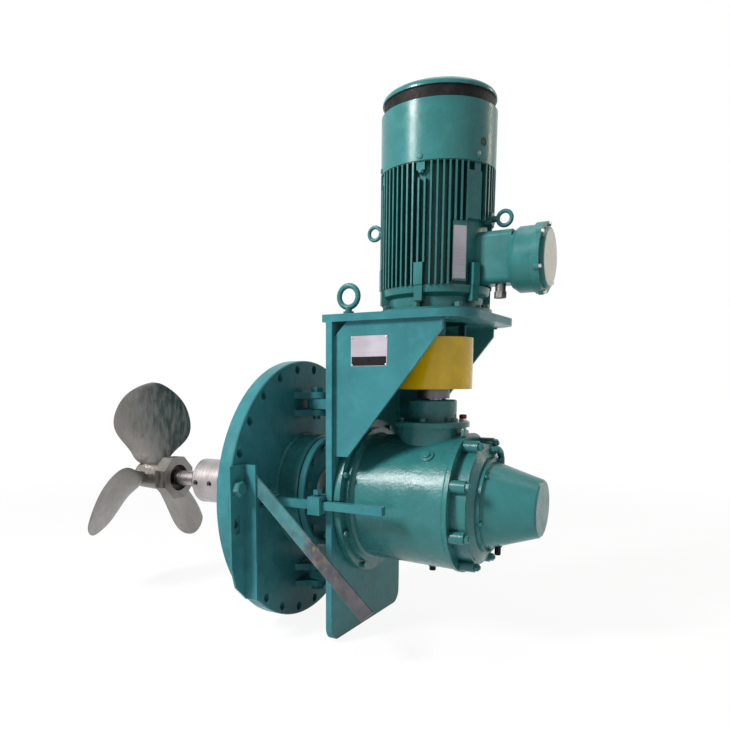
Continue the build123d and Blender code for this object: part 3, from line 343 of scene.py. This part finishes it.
def hex_bolt(bm, at, axis, flat, height, washer=0.0, turn=0.0, tip=0.0):
    """Washer, hexagon head with a turned chamfer and, where it shows, a stud end above."""
    place = Matrix.Translation(at) @ basis(axis) @ Matrix.Rotation(turn, 4, "Z")
    r = flat / 2 / math.cos(math.pi / 6)
    low = 0.0
    if washer:
        w = flat * 0.56
        lathe(bm, [(0, 0), (w, 0), (w, washer * 0.8), (w * 0.97, washer), (0, washer)], place, 24)
        low = washer
    ring = []
    for z, rr in ((low, r), (low + height * 0.80, r), (low + height, r * 0.84)):
        corners = [2 * math.pi * k / 6 for k in range(6)]
        ring.append([bm.verts.new(place @ Vector((rr * math.cos(a), rr * math.sin(a), z))) for a in corners])
    for a, b in zip(ring, ring[1:]):
        for k in range(6):
            bm.faces.new((a[k], a[(k + 1) % 6], b[(k + 1) % 6], b[k]))
    bm.faces.new(ring[0][::-1])
    bm.faces.new(ring[2])
    if tip:
        s = flat * 0.30
        top = low + height
        lathe(bm, [(0, top), (s, top), (s, top + tip * 0.8), (s * 0.8, top + tip), (0, top + tip)], place, 16)


def slab(bm, centre, size, place=None, bevel=0.001, segments=2):
    """A block with rounded edges, the only thing in bm."""
    bmesh.ops.create_cube(bm, size=1.0)
    bmesh.ops.scale(bm, vec=size, verts=bm.verts[:])
    bmesh.ops.bevel(bm, geom=bm.edges[:], offset=bevel, segments=segments, profile=0.6, affect="EDGES")
    move = Matrix.Translation(centre) @ (place or Matrix.Identity(4))
    bmesh.ops.transform(bm, matrix=move, verts=bm.verts[:])


def bead(bm, points, radius, seed=0, closed=False):
    """A weld bead: a rippled, slightly uneven tube along the points."""
    pts = [Vector(p) for p in points]
    if closed:
        pts.append(pts[0])
    steps = []
    for a, b in zip(pts, pts[1:]):
        count = max(2, int((b - a).length / 0.0035))
        steps += [a.lerp(b, k / count) for k in range(count)]
    steps.append(pts[-1])
    rings = []
    for k, c in enumerate(steps):
        ahead = steps[min(k + 1, len(steps) - 1)] - steps[max(k - 1, 0)]
        m = basis(ahead.normalized())
        wave = 1 + 0.13 * math.sin(k * 1.9) + 0.22 * noise.noise(c * 60 + Vector((seed, 0, 0)))
        shape = [2 * math.pi * j / 8 for j in range(8)]
        spokes = [m.to_3x3() @ Vector((math.cos(a), math.sin(a), 0)) for a in shape]
        rings.append([bm.verts.new(c + spoke * radius * wave) for spoke in spokes])
    for a, b in zip(rings, rings[1:]):
        for j in range(8):
            bm.faces.new((a[j], a[(j + 1) % 8], b[(j + 1) % 8], b[j]))
    bm.faces.new(rings[0][::-1])
    bm.faces.new(rings[-1])


def tube(bm, points, radius, segments=20):
    """A round bar along the points."""
    pts = [Vector(p) for p in points]
    rings = []
    for k, c in enumerate(pts):
        ahead = pts[min(k + 1, len(pts) - 1)] - pts[max(k - 1, 0)]
        m = basis(ahead.normalized(), (0, 0, 1) if abs(ahead.normalized().z) < 0.95 else (1, 0, 0)).to_3x3()
        turn = [2 * math.pi * j / segments for j in range(segments)]
        rings.append([bm.verts.new(c + m @ Vector((math.cos(a), math.sin(a), 0)) * radius) for a in turn])
    for a, b in zip(rings, rings[1:]):
        for j in range(segments):
            bm.faces.new((a[j], a[(j + 1) % segments], b[(j + 1) % segments], b[j]))
    bm.faces.new(rings[0][::-1])
    bm.faces.new(rings[-1])


def ring_points(centre, axis, radius, count):
    m = basis(axis).to_3x3()
    turn = [2 * math.pi * k / count for k in range(count)]
    return [Vector(centre) + m @ Vector((math.cos(a), math.sin(a), 0)) * radius for a in turn]


def about_x(x, radius, degrees):
    a = math.radians(degrees)
    return Vector((x, radius * math.cos(a), radius * math.sin(a)))


# ---------------------------------------------------------------- where things are

gear = box("gearbox_housing")
cover = box("rear_cover")
cone = box("rear_cone")
base = box("motor_base")
plate = box("mounting_plate")
near = box("gusset_near")
far = box("gusset_far")
motor = box("motor_frame")
shield = box("drive_shield")
cowl = box("fan_cowl")
carrier = box("input_carrier")
tbox = box("terminal_cover")
post = box("angle_post")

ALONG, UP, DOWN = (1, 0, 0), (0, 0, 1), (0, 0, -1)
motor_x = (cowl[0].x + cowl[1].x) / 2
box_z = (tbox[0].z + tbox[1].z) / 2

# seats that lie inside a node's box, by their distance from one of its faces
gear_front = gear[0].x + 0.024
cover_lobes = cover[0].x + 0.046
cone_flange = cone[0].x + 0.012
carrier_seat = carrier[1].z - 0.066
flange_top = shield[0].z + 0.016
shield_lugs = shield[1].z - 0.0445
frame_caps = motor[1].z - 0.022
terminal_lobes = tbox[0].x + 0.013
gear_bottom = gear[0].z + 0.0335

# half the angle between two flange holes, in degrees
HALF_STEP = 7.5
# radii of the bolt circles and of the cowl's sheet
FLANGE_HOLES_R = 0.42
GEAR_BOLTS_R = 0.239
COVER_BOLTS_R = 0.199
CONE_BOLTS_R = 0.1395
CARRIER_BOLTS_R = 0.098
FRAME_BOLTS_R = 0.1585
LUG_BOLTS_R = 0.1575
TERMINAL_BOLTS_R = 0.0955
COWL_R = 0.1695
TIE_ANGLES = (-146, -86, -26, 34, 94, 154)


def on_motor(radius, degrees, z):
    a = math.radians(degrees)
    return Vector((motor_x + radius * math.cos(a), radius * math.sin(a), z))


def outward(degrees):
    a = math.radians(degrees)
    return (math.cos(a), math.sin(a), 0)


def stand(at, axis):
    """A place to turn a profile at, its Z along axis."""
    return Matrix.Translation(at) @ basis(axis)


# ---------------------------------------------------------------- bolts


def bolt_set(name, seats, axis, flat, height, washer, step, material=teal_cast, tip=0.0):
    """Equal bolts on the head, each turned a step further than the one before."""
    bm = bmesh.new()
    for k, at in enumerate(seats):
        hex_bolt(bm, at, axis, flat, height, washer, step * k, tip)
    emit(bm, name, "head", material, angle=25)


# the post's bolt sits in the first flange hole above the centre line, at -Y
bm = bmesh.new()
hole = math.radians(HALF_STEP)
at = (post[0].x + 0.007, -FLANGE_HOLES_R * math.cos(hole), FLANGE_HOLES_R * math.sin(hole))
hex_bolt(bm, at, ALONG, 0.044, 0.019, 0.003, 0.2)
emit(bm, "post_bolt", "mount", teal_cast, angle=25)

eighths = [22.5 + 45 * k for k in range(8)]
sixths = [15 + 60 * k for k in range(6)]
seats = [about_x(gear_front, GEAR_BOLTS_R, a) for a in eighths]
bolt_set("gearbox_front_bolts", seats, ALONG, 0.018, 0.009, 0.002, 0.3)
seats = [about_x(cover_lobes, COVER_BOLTS_R, a) for a in eighths]
bolt_set("rear_cover_bolts", seats, ALONG, 0.021, 0.011, 0.002, 0.4, tip=0.004)
seats = [about_x(cone_flange, CONE_BOLTS_R, a) for a in sixths]
bolt_set("rear_cone_bolts", seats, ALONG, 0.010, 0.006, 0.001, 0.2, teal_sheet)
# the sixth place on the carrier is the breather's
seats = [on_motor(CARRIER_BOLTS_R, 94 + 60 * k, carrier_seat) for k in range(5)]
bolt_set("carrier_bolts", seats, UP, 0.018, 0.010, 0.002, 0.3)
seats = [on_motor(FRAME_BOLTS_R, -44 + 45 * k, flange_top) for k in range(8)]
bolt_set("motor_flange_bolts", seats, UP, 0.022, 0.012, 0.002, 0.3)

bm = bmesh.new()
for k, a in enumerate(TIE_ANGLES):
    hex_bolt(bm, on_motor(LUG_BOLTS_R, a, shield_lugs), DOWN, 0.015, 0.004, 0, 0.2 * k)
    hex_bolt(bm, on_motor(FRAME_BOLTS_R, a, frame_caps), DOWN, 0.014, 0.007, 0, 0.2 * k)
    place = stand(on_motor(COWL_R + 0.0003, a, cowl[0].z + 0.011), outward(a))
    lathe(bm, [(0, 0), (0.0078, 0), (0.0078, 0.0016), (0.0062, 0.0030), (0, 0.0034)], place, 24)
emit(bm, "motor_tie_bolts", "head", teal_motor, angle=25)

bm = bmesh.new()
for a in (-27, 153):
    place = stand(on_motor(COWL_R, a, cowl[0].z + 0.021), outward(a))
    lathe(bm, [(0, 0), (0.0065, 0), (0.0062, 0.0014), (0.004, 0.0024), (0, 0.0028)], place, 20)
emit(bm, "cowl_screws", "head", bare)

GROMMET_ANGLE = -21.4
bm = bmesh.new()
place = stand(on_motor(COWL_R + 0.0005, GROMMET_ANGLE, cowl[0].z + 0.054), outward(GROMMET_ANGLE))
profile = [(0, 0.0002), (0.0095, 0.0002), (0.0105, 0.0012), (0.0115, 0.0004), (0.0115, -0.001)]
lathe(bm, profile, place, 28)
emit(bm, "cowl_grommet", "head", rubber)

seats = []
for k in range(6):
    seats.append(about_x(terminal_lobes, TERMINAL_BOLTS_R, 21 + 60 * k) + Vector((0, 0, box_z)))
bolt_set("terminal_cover_bolts", seats, ALONG, 0.010, 0.006, 0.001, 0.2, zinc)

# ---------------------------------------------------------------- plates and labels left bare

SIGN_W, SIGN_H, SIGN_T = 0.118, 0.088, 0.0014
BAND_W, BAND_H, BAND_T = 0.112, 0.026, 0.0006
BAND_DROP = 0.029
RIVET_X, RIVET_Z = 0.0545, 0.0395
sign_x = near[0].x + 0.1155
sign_z = near[1].z - 0.087
face_y = near[0].y

bm = bmesh.new()
slab(bm, (sign_x, face_y - 0.0008, sign_z), (SIGN_W, SIGN_T, SIGN_H), bevel=0.0005, segments=1)
emit(bm, "base_nameplate", "head", plate_alloy)
bm = bmesh.new()
slab(bm, (sign_x, face_y - 0.0017, sign_z - BAND_DROP), (BAND_W, BAND_T, BAND_H), bevel=0.0002, segments=1)
emit(bm, "nameplate_band", "head", black)
bm = bmesh.new()
for sx in (-1, 1):
    for sz in (-1, 1):
        place = stand((sign_x + sx * RIVET_X, face_y - 0.0019, sign_z + sz * RIVET_Z), (0, -1, 0))
        lathe(bm, [(0.0030, 0), (0.0028, 0.0009), (0.0018, 0.0017), (0, 0.0021)], place, 14)
emit(bm, "nameplate_rivets", "head", zinc)

PAD_ANGLE = -45
MOTOR_SIGN = (0.0012, 0.040, 0.146)
bm = bmesh.new()
facing = Matrix.Rotation(math.radians(PAD_ANGLE), 4, "Z")
slab(bm, on_motor(0.1636, PAD_ANGLE, motor[0].z + 0.0885), MOTOR_SIGN, facing, 0.0004, 1)
emit(bm, "motor_nameplate", "head", plate_alloy)

# ---------------------------------------------------------------- welds

WELD_SINK = 0.001
weld_x = plate[1].x + WELD_SINK
weld_z = base[0].z - WELD_SINK
bm = bmesh.new()
for y, seed in ((near[1].y, 1), (far[0].y, 2)):
    bead(bm, [(weld_x, y, 0.16), (weld_x, y, 0.50)], 0.0045, seed)
    bead(bm, [(0.30, y, weld_z), (0.598, y, weld_z)], 0.004, seed + 3)
outer_y = near[0].y + 0.002
bead(bm, [(weld_x, outer_y, 0.155), (weld_x, outer_y, 0.505)], 0.0028, 9)
emit(bm, "gusset_welds", "head", teal_plate)

bm = bmesh.new()
for z in (0.260, 0.281, 0.320, 0.341, -0.260, -0.281, -0.320, -0.341):
    bead(bm, [(WELD_SINK, -0.036, z), (WELD_SINK, 0.036, z)], 0.0038, z)
emit(bm, "clevis_welds", "mount", teal_plate)

bm = bmesh.new()
bead(bm, ring_points((WELD_SINK, 0, 0), ALONG, 0.1955, 40), 0.0055, 4, closed=True)
emit(bm, "housing_weld", "mount", teal_plate)

bm = bmesh.new()
lug_x = plate[0].x - WELD_SINK
for z in (0.284, 0.317, -0.284, -0.317):
    bead(bm, [(lug_x, -0.040, z), (lug_x, 0.040, z)], 0.004, z)
emit(bm, "lug_welds", "head", teal_plate)

# ---------------------------------------------------------------- gearbox fittings

DRAIN_X = 0.481
OIL_X, OIL_ANGLE, OIL_BOSS_R = 0.510, 133, 0.204
NIPPLE_X, NIPPLE_Z = 0.692, -0.1235
BREATHER_ANGLE = 34.5
BEND_R, BEND_STEPS = 0.034, 8

bm = bmesh.new()
profile = [(0, 0), (0.0095, 0), (0.0095, 0.004), (0.0105, 0.0045)]
profile += [(0.0105, 0.012), (0.009, 0.0135), (0, 0.0135)]
lathe(bm, profile, stand((DRAIN_X, 0, gear_bottom), DOWN), 24)
emit(bm, "drain_plug", "head", black)

bm = bmesh.new()
out = Vector((0, math.cos(math.radians(OIL_ANGLE)), math.sin(math.radians(OIL_ANGLE))))
profile = [(0.024, 0), (0.0225, 0.009), (0.021, 0.0125), (0.020, 0.013), (0.0, 0.013)]
lathe(bm, profile, stand(Vector((OIL_X, 0, 0)) + out * OIL_BOSS_R, out), 32)
hex_bolt(bm, Vector((OIL_X, 0, 0)) + out * (OIL_BOSS_R + 0.0125), out, 0.021, 0.006, 0)
emit(bm, "oil_plug", "head", teal_cast)

breather = on_motor(CARRIER_BOLTS_R, BREATHER_ANGLE, carrier_seat)
bm = bmesh.new()
hex_bolt(bm, breather, UP, 0.022, 0.007, 0)
emit(bm, "breather_base", "head", zinc, angle=25)
bm = bmesh.new()
profile = [(0, 0.007), (0.0115, 0.007), (0.0120, 0.010), (0.0120, 0.016), (0.010, 0.019), (0, 0.020)]
lathe(bm, profile, Matrix.Translation(breather), 28)
emit(bm, "breather_cap", "head", red)

# grease elbow on the rear cover: a short run out, a quarter bend and a drop
bend_x = cover[0].x + 0.073
start = Vector((cover[0].x + 0.055, 0.018, 0.163))
bend = [start, start + Vector((0.018, 0.004, 0.006))]
for k in range(BEND_STEPS + 1):
    a = math.pi / 2 * k / BEND_STEPS
    y = 0.022 + BEND_R * math.sin(a)
    z = 0.169 - BEND_R * (1 - math.cos(a))
    bend.append(Vector((bend_x + 0.004 * k / BEND_STEPS, y, z)))
bend.append(bend[-1] + Vector((0, 0, -0.022)))
bm = bmesh.new()
tube(bm, bend, 0.0105)
place = stand(bend[-1] + Vector((0, 0, 0.004)), DOWN)
lathe(bm, [(0, 0), (0.0135, 0), (0.0135, 0.012), (0, 0.012)], place, 6)
place = stand(start, (0.96, 0.1, 0.2))
lathe(bm, [(0, 0), (0.0140, 0), (0.0140, 0.013), (0, 0.013)], place, 6)
emit(bm, "grease_elbow", "head", teal_cast)

bm = bmesh.new()
profile = [(0, 0), (0.0125, 0), (0.0125, 0.006), (0.0095, 0.008), (0.0095, 0.030), (0.008, 0.032), (0, 0.032)]
lathe(bm, profile, stand((NIPPLE_X, 0, NIPPLE_Z), DOWN), 24)
emit(bm, "cone_nipple", "head", black)

# lifting lug on the rear rim of the gearbox
bm = bmesh.new()
lean = Matrix.Rotation(math.radians(-13), 4, "X")
slab(bm, (gear[1].x - 0.007, -0.049, 0.2195), (0.012, 0.040, 0.026), lean, 0.004, 3)
emit(bm, "gearbox_lug", "head", teal_cast)

# ---------------------------------------------------------------- pillars that carry the rain canopy

PILLAR_R, PILLAR_H, PILLARS_R = 0.006, 0.035, 0.146
bm = bmesh.new()
for k in range(4):
    place = Matrix.Translation(on_motor(PILLARS_R, 45 + 90 * k, cowl[1].z))
    lathe(bm, [(0, 0), (PILLAR_R, 0), (PILLAR_R, PILLAR_H), (0, PILLAR_H)], place, 16)
emit(bm, "canopy_posts", "head", zinc)

# ---------------------------------------------------------------- floor, light and camera

FLOOR_HALF = 30
FLOOR_GAP = 0.0005
bm = bmesh.new()
bmesh.ops.create_grid(bm, x_segments=1, y_segments=1, size=FLOOR_HALF)
mesh = bpy.data.meshes.new("floor")
bm.to_mesh(mesh)
bm.free()
floor = bpy.data.objects.new("floor", mesh)
floor.location = (0, 0, cad_box[0][2] - FLOOR_GAP)
bpy.context.scene.collection.objects.link(floor)


def seen_white(tree, shader, out, share, strength=1.0):
    """Camera, glossy and transmission rays meet white, by the given share; other rays meet the shader."""
    path = tree.nodes.new("ShaderNodeLightPath")
    total = path.outputs["Is Camera Ray"]
    for name in ("Is Glossy Ray", "Is Transmission Ray"):
        node = tree.nodes.new("ShaderNodeMath")
        node.operation = "MAXIMUM"
        tree.links.new(total, node.inputs[0])
        tree.links.new(path.outputs[name], node.inputs[1])
        total = node.outputs[0]
    scale = tree.nodes.new("ShaderNodeMath")
    scale.operation = "MULTIPLY"
    if isinstance(share, float):
        scale.inputs[1].default_value = share
    else:
        tree.links.new(share, scale.inputs[1])
    tree.links.new(total, scale.inputs[0])
    white = tree.nodes.new("ShaderNodeBackground" if "World" in out.name else "ShaderNodeEmission")
    white.inputs["Color"].default_value = (1, 1, 1, 1)
    white.inputs["Strength"].default_value = strength
    mix = tree.nodes.new("ShaderNodeMixShader")
    tree.links.new(scale.outputs[0], mix.inputs[0])
    tree.links.new(shader, mix.inputs[1])
    tree.links.new(white.outputs[0], mix.inputs[2])
    tree.links.new(mix.outputs[0], out.inputs["Surface"])


pale = Mat("pale_floor")
pale_colour = pale.mix(pale.noise(0.7), (0.90, 0.90, 0.90), (0.93, 0.93, 0.93))
mesh.materials.append(pale.done(pale_colour, pale.ramp(pale.noise(3), 0, 1, 0.8, 0.9)))
reach = pale.n("ShaderNodeVectorMath", operation="LENGTH")
pale.link(pale.co, reach.inputs[0])
# the floor keeps a shadow near the part and is lost in the background far from it
far_white = pale.ramp(reach.outputs["Value"], 1.5, 6.0, 0.88, 1.0)
seen_white(pale.t, pale.p.outputs[0], pale.t.nodes["Material Output"], far_white, 1.03)

world = bpy.data.worlds.new("studio")
bpy.context.scene.world = world
world.use_nodes = True
sky = world.node_tree
sky.nodes["Background"].inputs["Color"].default_value = (0.95, 0.98, 1.0, 1)
sky.nodes["Background"].inputs["Strength"].default_value = 0.15
seen_white(sky, sky.nodes["Background"].outputs[0], sky.nodes["World Output"], 1.0)


def area(name, at, look, size, power, tint=(1, 1, 1)):
    data = bpy.data.lights.new(name, "AREA")
    data.shape = "RECTANGLE"
    data.size, data.size_y = size
    data.energy = power
    data.color = tint
    lamp = bpy.data.objects.new(name, data)
    lamp.location = at
    lamp.rotation_euler = (Vector(look) - Vector(at)).to_track_quat("-Z", "Y").to_euler()
    bpy.context.scene.collection.objects.link(lamp)


area("key", (-1.3, -3.0, 2.6), (0.2, 0, 0.3), (0.75, 1.1), 185, (1.0, 0.99, 0.97))
area("fill", (3.0, -1.6, 1.0), (0.3, 0, 0.3), (2.0, 2.0), 4)
area("top", (0.7, 0.3, 3.4), (0.3, 0, 0.4), (1.6, 1.6), 26)
area("back", (2.4, 2.2, 1.8), (0.4, 0, 0.5), (0.35, 1.6), 16, (1.0, 0.93, 0.70))

# fitted to the photograph: position in metres, angles in degrees
CAMERA_AT = (1.2838, -2.0928, 0.3689)
YAW, PITCH, ROLL = 59.265, -8.486, -0.138
camera_data = bpy.data.cameras.new("camera")
camera_data.sensor_width = 36
camera_data.lens = 34.372
camera_data.shift_x = 0.0671
camera_data.shift_y = 0.1683
camera_data.clip_end = 60
camera = bpy.data.objects.new("camera", camera_data)
bpy.context.scene.collection.objects.link(camera)
yaw, pitch, roll = math.radians(YAW), math.radians(PITCH), math.radians(ROLL)
ahead = Vector((-math.cos(yaw) * math.cos(pitch), math.sin(yaw) * math.cos(pitch), math.sin(pitch)))
right = Vector((math.sin(yaw), math.cos(yaw), 0))
up = right.cross(ahead)
rolled_right = math.cos(roll) * right + math.sin(roll) * up
rolled_up = math.cos(roll) * up - math.sin(roll) * right
turn = Matrix((rolled_right, rolled_up, -ahead)).transposed().to_4x4()
camera.matrix_world = Matrix.Translation(CAMERA_AT) @ turn
bpy.context.scene.camera = camera
bpy.context.scene.view_settings.view_transform = "Standard"
